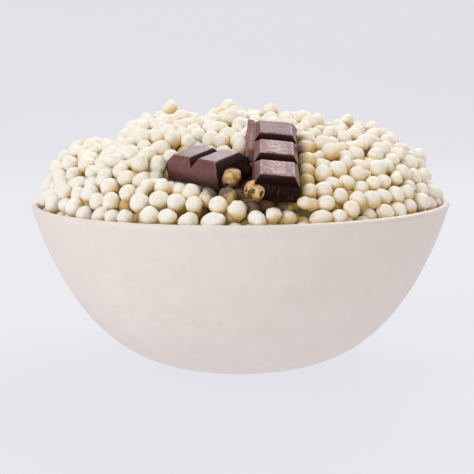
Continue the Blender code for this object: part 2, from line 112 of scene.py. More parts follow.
HOLLOW_DROP = 2.2 * MM
HOLLOW_REACH = 3 * MM
FRONT_SLOPE = 0.5
BACK_SLOPE = 1.6
EDGE_RADIUS = 82.1 * MM
EDGE_WIDENING = 2.6 * MM
EDGE_START = 0.5 * MM
EDGE_RISE = 3.5 * MM
SEGMENT_PITCH = 14.7 * MM
SEGMENT_WIDTH = 17.0 * MM
CHOCOLATE_THICKNESS = 9.7 * MM
SIDE_INSET = 2.4 * MM
DRAFT_INSET = 0.3 * MM
GROOVE_HALF_WIDTH = 2.7 * MM
GROOVE_DEPTH = 2.9 * MM
# Each piece of chocolate: its corner, its yaw, pitch and roll in degrees, and its number of segments
PIECES = {
    "chocolate_left": ((-7.7 * MM, -69.8 * MM, BOWL_HEIGHT + 10.7 * MM), (43.2, 4.1, -14.6), 2),
    "chocolate_bar": ((3.9 * MM, -76.0 * MM, BOWL_HEIGHT + 7.8 * MM), (-1.1, 27.4, 6.4), 3),
}
# Each nut: its piece of chocolate, its centre in that piece's frame, and its half sizes
NUTS = {
    "hazelnut_left": ("chocolate_left", (6.6 * MM, 0.6 * MM, 2.6 * MM), (4.6 * MM, 4.2 * MM, 3.6 * MM)),
    "hazelnut_bar": ("chocolate_bar", (0.8 * MM, 1.2 * MM, 2.9 * MM), (3.8 * MM, 4.2 * MM, 3.6 * MM)),
}
NUT_TAPER = 0.08
FIN_WIDTH = 2.3 * MM
FIN_HEIGHT = 9 * MM
FIN_FALL = 2.5 * MM
FIN_LEAN = 0.3 * MM
FIN_ROOT = 1.5 * MM
FIN_RANGE = (24 * MM, 42 * MM)

# What only the looks need
PROFILE_POINTS = 400
OUTER_STEPS = 44
INNER_STEPS = 40
STEP_CROWDING = 1.35
LIP_STEPS = 14
TURN_STEPS = 144
FOOT_CLEAR = 3 * MM
FOOT_EDGE = ((1.6 * MM, 0.45 * MM), (0.9 * MM, 0.12 * MM))
FLOOR_EASE = 0.8 * MM
FLOOR_ROUND = 5 * MM
WALL_WANDER = 0.12 * MM
WALL_WANDER_FROM = 10 * MM
SECOND_SLOTS = 430
SECOND_DEPTH = 5.1 * MM
SECOND_LOWEST = -4.0 * MM
SECOND_SEED = 23
SECOND_SHADE = 0.6
LIP_REACH = 3 * MM
LIP_SHIFT = 1.2 * MM
# Painted shadow under each torn end: how wide it lies, how far it stays full, and how far it reaches
END_SHADOWS = {
    "chocolate_left": (17 * MM, 6.0 * MM, 9.6 * MM),
    "chocolate_bar": (8 * MM, 4.4 * MM, 8.6 * MM),
}
# A faint painted shadow on the balls all along each piece: how strong, and how far it reaches
SIDE_SHADOW = 0.35
SIDE_SHADOW_REACH = 3 * MM
FILL_SEED = 31
FILL_DEPTH = 1.2 * MM
FILL_LEAST = 1.7 * MM
FILL_OVERLAP = 0.8 * MM
FILL_BELOW = 0.5 * MM
FILL_SHADE = 0.1
# Rings of trial places beside the lip: radius, and height above the rim
FILL_RINGS = ((84.2 * MM, -0.2 * MM), (83.0 * MM, -2.2 * MM), (81.8 * MM, -3.4 * MM))
RING_POINTS = 720
# Painted shade at the right front of the heap: how much, and where it starts and over what span along x and
# towards the front
RIGHT_FRONT_SHADE = 0.15
SHADE_RIGHT = (-20 * MM, 50 * MM)
SHADE_FRONT = (15 * MM, 40 * MM)
# Painted shade on the balls beside the bar: how much, and how far it reaches
BAR_SIDE_SHADE = 0.6
BAR_SIDE_SHADE_REACH = 5 * MM
# Painted shade on each ball leans to the side away from the key light
SHADE_LEAN = (-0.28, -0.05, 0.25)
NORMAL_STEP = 2 * MM
STEEPEST = 1.5
# Kinds of ball, with the share of each, and how many shapes each kind has
BALL_KINDS = (("round", 0.5), ("lumpy", 0.24), ("egg", 0.18), ("twin", 0.08))
KIND_SEED = 5
KIND_SHAPES = 9
LUMPY_GAIN = 1.7
BALL_GAIN = 1.15
EGG_SIZE = (0.92, 0.95, 1.16)
EGG_SPREAD = 0.08
EGG_TAPER = 0.1
TWIN_SIZE = (0.84, 0.84, 1.42)
TWIN_WAIST = 0.26
TWIN_WAIST_WIDTH = 0.32
# Waves that make balls, nuts and broken faces uneven: how many, how tight, how high
BALL_WAVES = ((5, 1.3, 0.055), (6, 2.6, 0.034), (8, 5.0, 0.018))
NUT_WAVES = ((5, 1.5, 0.04), (8, 4.0, 0.028), (12, 9.0, 0.014), (16, 18.0, 0.008))
NUT_SKIN_WAVES = ((8, 2.5, 0.22),)
TORN_WAVES = ((8, 0.25, 0.32), (12, 0.8, 0.2), (16, 2.0, 0.09))
RIDGE_WAVES = ((10, 1.1, 0.16),)
MOULD_WAVES = ((8, 0.35, 0.05), (8, 1.2, 0.02))
WAVE_TURN = 6.28
CORE_GAP = 0.5 * MM
CORE_RADIUS = 80 * MM
CORE_DEPTH = 8.5 * MM
CHOCOLATE_SEED = 3
NUT_SEED = 37
VOXEL = 0.27 * MM
NUT_CLEARANCE = 0.12 * MM
NUB_CENTRE = (SEGMENT_WIDTH + 0.4 * MM, 27.4 * MM, 6.4 * MM)
NUB_SIZE = (1.3 * MM, 1.5 * MM, 2.0 * MM)
TORN_REACH = 0.9 * MM
TORN_IN = 0.25 * MM
TORN_OUT = 0.7 * MM
SNAPPED_TOP = 6.5 * MM
# Painted highlights on the tops: how far they reach from the grooves and the sides, and how wide and strong
# the middle patch is
EDGE_HIGHLIGHT_ALONG = 1.3 * MM
EDGE_HIGHLIGHT_ACROSS = 1.1 * MM
TOP_HIGHLIGHT_SPREAD = 5.5 * MM
TOP_HIGHLIGHT_LOWER, TOP_HIGHLIGHT_UPPER = 0.9, 0.1
# Painted shade on the tops: more on the left piece, and more on the upper segments than the lower
LEFT_TOP_SHADE = 0.26
LOWER_TOP_SHADE, UPPER_TOP_SHADE = 0.04, 0.12
BULGE = 2.4 * MM
BULGE_PLACE = (14 * MM, 2.6 * MM)
BULGE_SPREAD = (3.2 * MM, 3.0 * MM)
# Scraps of skin on each nut: the direction they face in the chocolate's frame, and how wide they are
NUT_SKIN = {
    "hazelnut_left": (((0.85, -0.5, -0.3), 0.45), ((-0.8, -0.3, -0.5), 0.5), ((0.3, -0.2, 0.95), 0.5)),
    "hazelnut_bar": (
        ((-0.34, -0.78, 0.54), 0.66), ((-0.46, -0.80, -0.28), 0.80), ((0.34, -0.85, -0.62), 0.62),
        ((0.80, -0.60, 0.20), 0.50), ((-0.9, -0.3, 0.3), 0.55),
    ),
}
FLOOR_COLOUR = (0.10, 0.10, 0.10)
FLOOR_GLOW = (0.70, 0.695, 0.74)
WORLD_COLOUR = (1.0, 0.98, 0.95)
WORLD_STRENGTH = 0.40
BEYOND_STRENGTH = 1.08
LIGHT_TARGET = (0, 0, 0.07)
# Each light: its place, size, power and colour
LIGHTS = {
    "key": ((-0.78, -0.62, 0.78), (0.55, 0.55), 5.5, (1.0, 0.98, 0.95)),
    "top": ((0.30, 0.60, 0.88), (1.3, 0.8), 8.9, (1.0, 0.985, 0.975)),
    "front": ((-0.25, -1.15, 0.16), (0.9, 0.25), 2.3, (1.0, 0.985, 0.955)),
    "warm": ((0.9, -0.35, 0.60), (0.5, 0.5), 0.8, (1.0, 0.66, 0.26)),
}
# The camera: its distance, angles in degrees, and the picture with its focal length and aim in pixels
CAMERA_DISTANCE = 420 * MM
CAMERA_ELEVATION = 6.2
CAMERA_ROLL = -0.5
PICTURE_SIZE = 474
FOCAL_LENGTH = 956.0
AIM_COLUMN = 240.7
AIM_ROW = 198.0
SENSOR_WIDTH = 36
# The surfaces of a piece of chocolate, in the order of its materials
MOULDED, TORN, GROOVE, LIT_FIN = range(4)
# Socket numbers of a colour Mix node
MIX_SHARE, MIX_FIRST, MIX_SECOND, MIX_RESULT = 0, 6, 7, 2


def unit(vectors):
    return vectors / np.maximum(np.linalg.norm(vectors, axis=-1, keepdims=True), 1e-12)


# The heap's packing, as in the solids
def piece_axes(name):
    corner, angles, _ = PIECES[name]
    yaw, pitch, roll = (math.radians(angle) for angle in angles)
    turn = Matrix.Rotation(yaw, 3, "Z") @ Matrix.Rotation(pitch, 3, "X") @ Matrix.Rotation(roll, 3, "Y")
    return np.array(corner), np.array(turn)


def piece_size(name):
    return np.array([SEGMENT_WIDTH, PIECES[name][2] * SEGMENT_PITCH, CHOCOLATE_THICKNESS])


def mound_height(x, y):
    side = np.clip(1 - np.abs(x / MOUND_RADIUS) ** MOUND_SIDE_POWER, 0, 1)
    crest = MOUND_CREST * np.sqrt(side)
    for place, rise, spread in CREST_FEATURES:
        crest = crest + rise * np.exp(-(((x - place) / spread) ** 2)) * np.exp(-((y / CREST_DEPTH) ** 2))
    half = np.sqrt(np.clip(MOUND_RADIUS**2 - x**2, 1e-8, None))
    share = np.clip(np.abs(y) / half, 0, 1)
    return crest * (1 - share**MOUND_SLOPE_POWER) ** MOUND_FALL_POWER


def centre_height(x, y):
    """Height above the rim of the top balls' centres, lowered where the chocolate lies."""
    height = mound_height(x, y)
    reach = BALL_RADIUS + BALL_GAP
    for name in PIECES:
        corner, axes = piece_axes(name)
        size = piece_size(name)
        up = axes[:, 2]
        plane = corner[2] - (up[0] * (x - corner[0]) + up[1] * (y - corner[1])) / up[2]
        offset = np.stack([x - corner[0], y - corner[1], plane - corner[2]], axis=-1) @ axes
        across = offset[..., 0] - np.clip(offset[..., 0], 0, size[0])
        along = offset[..., 1] - np.clip(offset[..., 1], 0, size[1])
        away = np.hypot(across, along)
        facing = (across * axes[1, 0] + along * axes[1, 1]) / np.maximum(away, 1e-6)
        front = np.clip(0.5 - FACING_GAIN * facing, 0, 1)
        front = np.where(away < 1e-6, 1, front)
        below = np.sqrt(np.clip(reach**2 - away**2, 0, None)) * front
        drop = HOLLOW_DROP * front * np.clip(away / HOLLOW_REACH, 0, 1)
        slope = BACK_SLOPE + (FRONT_SLOPE - BACK_SLOPE) * front
        limit = plane - BOWL_HEIGHT - (below + drop) / up[2] + slope * np.clip(away - reach * front, 0, None)
        height = np.minimum(height, limit)
    return height


def edge_radius(height):
    return EDGE_RADIUS + EDGE_WIDENING * np.clip((height - EDGE_START) / EDGE_RISE, 0, 1)


def region(depth):
    """The space under the surface that lies this deep below the top balls' centres."""

    def inside(points):
        x, y = points[..., 0], points[..., 1]
        above = points[..., 2] - BOWL_HEIGHT
        return (np.hypot(x, y) < edge_radius(above) - depth) & (above < centre_height(x, y) - depth)

    return inside


def surface_points(directions, inside):
    low = np.zeros(len(directions))
    high = np.full(len(directions), FARTHEST)
    for _ in range(HALVINGS):
        middle = (low + high) / 2
        within = inside(HEAP_MIDDLE + directions * middle[:, None])
        low = np.where(within, middle, low)
        high = np.where(within, high, middle)
    return HEAP_MIDDLE + directions * low[:, None]


def box_offsets(points, name):
    corner, axes = piece_axes(name)
    local = (points - corner) @ axes
    nearest = np.clip(local, 0, piece_size(name))
    offset = (local - nearest) @ axes.T
    return offset, np.linalg.norm(offset, axis=1)


def nut_centre(name):
    piece, centre, _ = NUTS[name]
    corner, axes = piece_axes(piece)
    return corner + axes @ np.array(centre)


def freedom(centres):
    """From 0 beside the lip and the chocolate, where balls keep to the layer, to 1 away from them."""
    share = np.clip((centres[:, 2] - BOWL_HEIGHT - FREE_FROM) / FREE_OVER, 0, 1)
    for name in PIECES:
        share = share * np.clip((box_offsets(centres, name)[1] - FREE_OVER) / FREE_OVER, 0, 1)
    return share


def settled_balls(slots, seed, depth, lowest, peaks):
    """Centres and radii of one layer of balls, packed with a seeded relaxation."""
    random = np.random.default_rng(seed)
    inside = region(depth)
    trial = unit(random.normal(size=(TRIAL_POINTS, 3)))
    points = surface_points(trial, inside)
    points = points[points[:, 2] > BOWL_HEIGHT + lowest - 2 * SLACK]
    chosen = [0]
    distance = np.linalg.norm(points - points[0], axis=1)
    for _ in range(slots - 1):
        chosen.append(int(np.argmax(distance)))
        distance = np.minimum(distance, np.linalg.norm(points - points[chosen[-1]], axis=1))
    centres = points[chosen]
    radii = BALL_RADIUS * (1 + BALL_SPREAD * np.clip(random.normal(size=slots), -SIZE_LIMIT, SIZE_LIMIT))
    lifts = UNEVENNESS * np.clip(random.normal(size=slots), -LIFT_LIMIT, LIFT_LIMIT)
    pinned = {}
    for x, y, lift in peaks:
        number = int(np.argmin(np.hypot(centres[:, 0] - x, centres[:, 1] - y)))
        lifts[number] = lift
        pinned[number] = (x, y, BOWL_HEIGHT + centre_height(x, y))
    for _ in range(SETTLING_ROUNDS):
        gaps = centres[:, None] - centres[None]
        apart = np.linalg.norm(gaps, axis=2) + np.eye(slots)
        wanted = radii[:, None] + radii[None]
        overlap = np.clip(wanted - apart, 0, None) * (1 - np.eye(slots))
        push = (gaps / apart[..., None] * overlap[..., None]).sum(axis=1) * PUSH_SHARE
        centres = centres + push
        for name in PIECES:
            offset, away = box_offsets(centres, name)
            lack = np.clip(radii + BALL_GAP - away, 0, None)
            centres = centres + unit(offset) * lack[:, None]
        for name, (_, _, half) in NUTS.items():
            offset = centres - nut_centre(name)
            lack = np.clip(radii + max(half) + BALL_GAP - np.linalg.norm(offset, axis=1), 0, None)
            centres = centres + unit(offset) * lack[:, None]
        centres = surface_points(unit(centres - HEAP_MIDDLE), inside)
        for number, place in pinned.items():
            centres[number] = place
        rise = lifts * freedom(centres)
        centres = centres + unit(centres - HEAP_MIDDLE) * rise[:, None]
        centres[:, 2] += np.clip(BOWL_HEIGHT + lowest - centres[:, 2], 0, None)
    clear = np.ones(slots, bool)
    for name in PIECES:
        clear &= box_offsets(centres, name)[1] > radii + SLACK
    for name, (_, _, half) in NUTS.items():
        clear &= np.linalg.norm(centres - nut_centre(name), axis=1) > radii + max(half)
    lip_middle = unit(centres[:, :2]) * (RIM_RADIUS - LIP_WALL / 2)
    lip_away = np.hypot(
        np.linalg.norm(centres[:, :2] - lip_middle, axis=1), centres[:, 2] - (BOWL_HEIGHT - LIP_WALL / 2)
    )
    clear &= lip_away > radii + LIP_WALL / 2 + SLACK
    return centres[clear], radii[clear]


def filler_balls(centres, radii):
    """Balls for the holes left in the top layer, beside the lip and the toppings most of all."""
    random = np.random.default_rng(FILL_SEED)
    points = surface_points(unit(random.normal(size=(TRIAL_POINTS, 3))), region(FILL_DEPTH))
    turns = np.linspace(0, 2 * math.pi, RING_POINTS)
    rings = [
        np.stack([radius * np.cos(turns), radius * np.sin(turns), 0 * turns + BOWL_HEIGHT + above], axis=1)
        for radius, above in FILL_RINGS
    ]
    points = np.concatenate([points[points[:, 2] > BOWL_HEIGHT - FILL_BELOW], *rings])
    room = (np.linalg.norm(points[:, None] - centres[None], axis=2) - radii[None]).min(axis=1)
    for name in PIECES:
        room = np.minimum(room, box_offsets(points, name)[1] - FILL_OVERLAP - SLACK)
    for name, (_, _, half) in NUTS.items():
        away = np.linalg.norm(points - nut_centre(name), axis=1)
        room = np.minimum(room, away - max(half) - FILL_OVERLAP)
    across = RIM_RADIUS - LIP_WALL / 2 - np.hypot(points[:, 0], points[:, 1])
    lip_away = np.hypot(across, points[:, 2] - (BOWL_HEIGHT - LIP_WALL / 2)) - LIP_WALL / 2
    room = np.minimum(room, lip_away - FILL_OVERLAP)
    chosen, sizes = [], []
    while room.max() > FILL_LEAST:
        best = int(np.argmax(room))
        sizes.append(min(room[best] + FILL_OVERLAP, BALL_RADIUS))
        chosen.append(points[best])
        room = np.minimum(room, np.linalg.norm(points - points[best], axis=1) - sizes[-1])
    return np.array(chosen), np.array(sizes)


# Materials
class Shader:
    """One material, built up node by node."""

    def __init__(self, name, roughness=0.5, specular=0.5, **constant):
        self.material = bpy.data.materials.new(name)
        self.material.use_nodes = True
        self.nodes = self.material.node_tree.nodes
        self.links = self.material.node_tree.links
        self.out = self.nodes["Principled BSDF"]
        self.out.inputs["Roughness"].default_value = roughness
        self.out.inputs["Specular IOR Level"].default_value = specular
        for key, value in constant.items():
            self.out.inputs[key.replace("_", " ")].default_value = value
        self.place = self.nodes.new("ShaderNodeTexCoord").outputs["Object"]

    def join(self, source, target):
        self.links.new(source, target)

    def noise(self, scale, detail=3.0, rough=0.55, stretch=None):
        node = self.nodes.new("ShaderNodeTexNoise")
        node.inputs["Scale"].default_value = scale
        node.inputs["Detail"].default_value = detail
        node.inputs["Roughness"].default_value = rough
        place = self.place
        if stretch:
            mapping = self.nodes.new("ShaderNodeMapping")
            mapping.inputs["Scale"].default_value = stretch
            self.join(place, mapping.inputs["Vector"])
            place = mapping.outputs["Vector"]
        self.join(place, node.inputs["Vector"])
        return node.outputs["Fac"]

    def cells(self, scale, feature="F1"):
        node = self.nodes.new("ShaderNodeTexVoronoi")
        node.feature = feature
        node.inputs["Scale"].default_value = scale
        self.join(self.place, node.inputs["Vector"])
        return node.outputs["Distance"]

    def spread(self, value, low, high, to_low=0.0, to_high=1.0):
        node = self.nodes.new("ShaderNodeMapRange")
        node.inputs["From Min"].default_value = low
        node.inputs["From Max"].default_value = high
        node.inputs["To Min"].default_value = to_low
        node.inputs["To Max"].default_value = to_high
        self.join(value, node.inputs["Value"])
        return node.outputs["Result"]

    def math(self, kind, first, second):
        node = self.nodes.new("ShaderNodeMath")
        node.operation = kind
        for value, socket in zip((first, second), node.inputs):
            if isinstance(value, (int, float)):
                socket.default_value = value
            else:
                self.join(value, socket)
        return node.outputs["Value"]

    def vary(self, value, noise, below, above):
        """The value, moved down or up by a noise."""
        return self.math("ADD", value, self.spread(noise, 0.3, 0.7, below, above))

    def ramp(self, value, stops):
        node = self.nodes.new("ShaderNodeValToRGB")
        ramp = node.color_ramp
        while len(ramp.elements) < len(stops):
            ramp.elements.new(0.5)
        for element, (position, colour) in zip(ramp.elements, stops):
            element.position = position
            element.color = (*colour, 1)
        self.join(value, node.inputs["Fac"])
        return node.outputs["Color"]

    def mix(self, share, first, second):
        node = self.nodes.new("ShaderNodeMix")
        node.data_type = "RGBA"
        for value, number in ((share, MIX_SHARE), (first, MIX_FIRST), (second, MIX_SECOND)):
            if isinstance(value, tuple):
                node.inputs[number].default_value = (*value, 1)
            else:
                self.join(value, node.inputs[number])
        return node.outputs[MIX_RESULT]

    def attribute(self, name):
        node = self.nodes.new("ShaderNodeAttribute")
        node.attribute_name = name
        return node.outputs["Fac"]

    def island(self):
        return self.nodes.new("ShaderNodeNewGeometry").outputs["Random Per Island"]

    def colour(self, source):
        self.join(source, self.out.inputs["Base Color"])

    def rough(self, source):
        self.join(source, self.out.inputs["Roughness"])

    def bump(self, heights):
        """Heights given as (source, distance in metres, strength)."""
        last = None
        for source, distance, strength in heights:
            node = self.nodes.new("ShaderNodeBump")
            node.inputs["Distance"].default_value = distance
            node.inputs["Strength"].default_value = strength
            self.join(source, node.inputs["Height"])
            if last:
                self.join(last, node.inputs["Normal"])
            last = node.outputs["Normal"]
        self.join(last, self.out.inputs["Normal"])


def ceramic_material():
    look = Shader("cream_ceramic_look", roughness=0.42, specular=0.45)
    cloud = look.noise(28, 4, 0.6)
    mottle = look.noise(150, 3, 0.6)
    grain = look.noise(900, 2, 0.5)
    tint = look.math("ADD", look.math("MULTIPLY", cloud, 0.45), look.math("MULTIPLY", mottle, 0.55))
    dark, pale, brown = (0.776, 0.699, 0.642), (0.836, 0.766, 0.716), (0.66, 0.55, 0.47)
    base = look.ramp(tint, [(0.32, dark), (0.68, pale)])
    # Small brown specks, which only some parts of the glaze have
    fleck = look.spread(look.cells(420), 0.05, 0.16, 1.0, 0.0)
    speckled = look.spread(look.noise(60, 1, 0.5), 0.45, 0.62, 0.0, 0.55)
    look.colour(look.mix(look.math("MULTIPLY", fleck, speckled), base, brown))
    gloss = look.math("ADD", cloud, look.math("MULTIPLY", grain, 0.3))
    look.rough(look.spread(gloss, 0.4, 0.9, 0.36, 0.52))
    look.bump([(look.noise(45, 3, 0.5), 0.0008, 0.35), (grain, 0.00008, 0.4)])
    return look.material


def cereal_material():
    look = Shader(
        "cereal_look", roughness=0.62, specular=0.3, Subsurface_Weight=0.32, Subsurface_Scale=0.0024
    )
    look.out.inputs["Subsurface Radius"].default_value = (1.0, 0.72, 0.40)
    # Each ball has its own tone; painted shade turns it golden on the side that faces down into the heap and
    # away from the key light
    tone = look.island()
    patch = look.noise(240, 3, 0.55)
    pale = look.mix(tone, (0.940, 0.900, 0.815), (0.960, 0.935, 0.885))
    warm = look.mix(tone, (0.915, 0.845, 0.700), (0.935, 0.885, 0.785))
    skin = look.mix(look.spread(patch, 0.42, 0.72), pale, warm)
    under = look.mix(tone, (0.74, 0.50, 0.14), (0.84, 0.63, 0.26))
    low = look.vary(look.attribute("deep"), look.noise(120, 2, 0.5), -0.1, 0.1)
    body = look.mix(look.spread(low, 0.33, 0.70, 0.0, 0.95), skin, under)
    # Painted shadow from the chocolate is golden brown where it is faint, and dark brown where it is full
    dust = look.vary(look.attribute("dust"), look.noise(420, 4, 0.65), -0.25, 0.2)
    share = look.spread(dust, 0.1, 0.8, 0.0, 0.92)
    faint_shadow, dark_shadow = (0.58, 0.35, 0.10), (0.118, 0.052, 0.021)
    shadow_colour = look.ramp(share, [(0.2, faint_shadow), (0.7, dark_shadow)])
    look.colour(look.mix(share, body, shadow_colour))
    look.rough(look.spread(patch, 0.3, 0.7, 0.52, 0.72))
    pits = look.spread(look.cells(1150), 0.0, 0.5)
    lump, grain = look.noise(460, 4, 0.62), look.noise(2200, 2, 0.6)
    look.bump([(lump, 0.0010, 0.7), (pits, 0.00025, 0.55), (grain, 0.00015, 0.6)])
    return look.material


def core_material():
    look = Shader("cereal_under_shade_look", roughness=0.8, specular=0.2)
    # Painted shade: the core is coloured like the golden shaded sides of the balls
    dark, pale = (0.80, 0.57, 0.25), (0.92, 0.75, 0.45)
    look.colour(look.ramp(look.noise(300, 3, 0.6), [(0.3, dark), (0.7, pale)]))
    look.bump([(look.cells(170, "SMOOTH_F1"), 0.002, 0.9), (look.noise(900, 3, 0.6), 0.0003, 0.5)])
    return look.material


def chocolate_material():
    look = Shader("chocolate_look", roughness=0.36, specular=0.55, Coat_Weight=0.2, Coat_Roughness=0.34)
    look.out.inputs["Specular Tint"].default_value = (1.0, 0.84, 0.88, 1)
    smear = look.noise(160, 4, 0.6, stretch=(1, 0.5, 1))
    bloom = look.noise(700, 3, 0.6)
    shade = look.math("ADD", smear, look.math("MULTIPLY", bloom, 0.35))
    dark, pale = (0.112, 0.034, 0.030), (0.200, 0.078, 0.071)
    shaded, highlight_colour = (0.035, 0.011, 0.009), (0.53, 0.385, 0.39)
    body = look.ramp(shade, [(0.45, dark), (0.85, pale)])
    # A low tone is painted shade, at the foot of a side and on the tops, and a high one a painted highlight
    # on a top's edges and middle
    tone = look.attribute("tone")
    low = look.vary(tone, bloom, -0.12, 0.12)
    body = look.mix(look.spread(low, 0.05, 0.5, 1.0, 0.0), body, shaded)
    painted_highlight = look.vary(tone, bloom, -0.3, 0.2)
    look.colour(look.mix(look.spread(painted_highlight, 0.65, 1.0, 0.0, 0.75), body, highlight_colour))
    look.rough(look.spread(smear, 0.3, 0.75, 0.32, 0.50))
    dent, grain = look.noise(420, 3, 0.55), look.noise(5200, 2, 0.5)
    look.bump([(smear, 0.0003, 0.25), (dent, 0.00022, 0.35), (grain, 0.00003, 0.35)])
    return look.material


def groove_material():
    look = Shader("chocolate_groove_look", roughness=0.5, specular=0.10)
    look.out.inputs["Specular Tint"].default_value = (1.0, 0.62, 0.62, 1)
    streak = look.noise(500, 4, 0.6, stretch=(0.3, 1, 1))
    height = look.vary(look.attribute("tone"), streak, -0.15, 0.15)
    # Painted shade: the groove slopes are coloured nearly black, darkest at the groove's bottom
    deep, mid, edge = (0.004, 0.0012, 0.0010), (0.020, 0.0060, 0.0046), (0.075, 0.031, 0.027)
    look.colour(look.ramp(height, [(0.15, deep), (0.6, mid), (1.0, edge)]))
    look.rough(look.spread(streak, 0.3, 0.7, 0.42, 0.62))
    look.bump([(streak, 0.0002, 0.4)])
    return look.material


def torn_material():
    look = Shader("chocolate_torn_look", roughness=0.7, specular=0.14)
    crumb = look.noise(1300, 5, 0.7)
    streak = look.noise(900, 4, 0.6, stretch=(1, 1, 0.25))
    # The torn faces keep their own streaks, but their near-black colour is painted shade
    dark, mid, pale = (0.010, 0.0030, 0.0020), (0.032, 0.0090, 0.0060), (0.13, 0.055, 0.040)
    look.colour(look.ramp(streak, [(0.38, dark), (0.6, mid), (0.78, pale)]))
    look.rough(look.spread(crumb, 0.3, 0.7, 0.55, 0.85))
    look.bump([(streak, 0.0011, 0.8), (crumb, 0.0006, 0.8)])
    return look.material


def lit_fin_material():
    look = Shader("chocolate_lit_fin_look", roughness=0.6, specular=0.35)
    crumb = look.noise(900, 5, 0.65)
    streak = look.noise(420, 4, 0.6, stretch=(1, 0.35, 1))
    shade = look.math("ADD", look.math("MULTIPLY", streak, 0.7), look.math("MULTIPLY", crumb, 0.3))
    # Painted light: the fin is coloured much paler than the moulded chocolate, as a lit strip; its streaks
    # and crumbs are its own
    dark, mid, pale = (0.11, 0.040, 0.030), (0.27, 0.135, 0.11), (0.45, 0.28, 0.24)
    look.colour(look.ramp(shade, [(0.36, dark), (0.5, mid), (0.66, pale)]))
    look.rough(look.spread(crumb, 0.3, 0.7, 0.48, 0.75))
    look.bump([(streak, 0.0007, 0.6), (crumb, 0.0004, 0.7)])
    return look.material


def nut_material():
    look = Shader(
        "hazelnut_look", roughness=0.48, specular=0.45, Subsurface_Weight=0.12, Subsurface_Scale=0.001
    )
    meat = look.noise(340, 4, 0.62)
    dark, mid, pale = (0.34, 0.15, 0.030), (0.64, 0.40, 0.11), (0.83, 0.62, 0.26)
    heart = look.ramp(meat, [(0.38, dark), (0.48, mid), (0.62, pale)])
    dark, mid, pale = (0.50, 0.23, 0.09), (0.80, 0.52, 0.26), (0.93, 0.73, 0.46)
    border = look.ramp(meat, [(0.38, dark), (0.5, mid), (0.64, pale)])
    rim = look.vary(look.attribute("rim"), look.noise(500, 3, 0.6), -0.16, 0.16)
    base = look.mix(look.spread(rim, 0.52, 0.84), heart, border)
    edge = look.vary(look.attribute("skin"), look.noise(650, 3, 0.6), -0.22, 0.22)
    skin = look.spread(edge, 0.46, 0.62)
    dark, pale = (0.07, 0.020, 0.007), (0.22, 0.085, 0.03)
    brown = look.ramp(look.noise(900, 3, 0.6), [(0.35, dark), (0.65, pale)])
    look.colour(look.mix(skin, base, brown))
    look.rough(look.spread(meat, 0.3, 0.7, 0.4, 0.6))
    look.bump([(meat, 0.0007, 0.7), (look.noise(1600, 3, 0.6), 0.00025, 0.6)])
    return look.material


# Pieces
def add_piece(name, mesh, material, node):
    if material:
        mesh.materials.append(material)
    piece = bpy.data.objects.new(name, mesh)
    bpy.context.scene.collection.objects.link(piece)
    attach(piece, "root")
    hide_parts(node)
    return piece


def mesh_from(name, shape):
    mesh = bpy.data.meshes.new(name)
    shape.to_mesh(mesh)
    shape.free()
    mesh.shade_smooth()
    return mesh


def mark_points(mesh, **marks):
    """Gives each point of a mesh the numbers that its material reads."""
    for key, values in marks.items():
        mark = mesh.attributes.new(key, "FLOAT", "POINT")
        mark.data.foreach_set("value", values.astype(np.float32))


def outer_profile(steps):
    turns = np.linspace(0, math.pi / 2, PROFILE_POINTS)
    radius = PROFILE_START + (RIM_RADIUS - PROFILE_START) * np.sin(turns) ** PROFILE_WIDTH_POWER
    height = BOWL_HEIGHT * (1 - np.clip(np.cos(turns), 0, 1) ** PROFILE_HEIGHT_POWER)
    curve = np.stack([radius, height], axis=1)[radius > FOOT_RADIUS + FOOT_CLEAR]
    length = np.concatenate([[0], np.cumsum(np.linalg.norm(np.diff(curve, axis=0), axis=1))])
    wanted = length[-1] * np.linspace(0, 1, steps) ** STEP_CROWDING
    return np.stack([np.interp(wanted, length, curve[:, 0]), np.interp(wanted, length, curve[:, 1])], axis=1)


def inner_profile(steps):
    outer = outer_profile(steps)
    along = np.gradient(outer, axis=0)
    along /= np.linalg.norm(along, axis=1)[:, None]
    share = outer[:, 1] / BOWL_HEIGHT
    wall = SIDE_WALL + (LIP_WALL - SIDE_WALL) * share
    inner = outer + np.stack([-along[:, 1], along[:, 0]], axis=1) * wall[:, None]
    return inner[inner[:, 1] > FLOOR_THICKNESS + FLOOR_EASE]


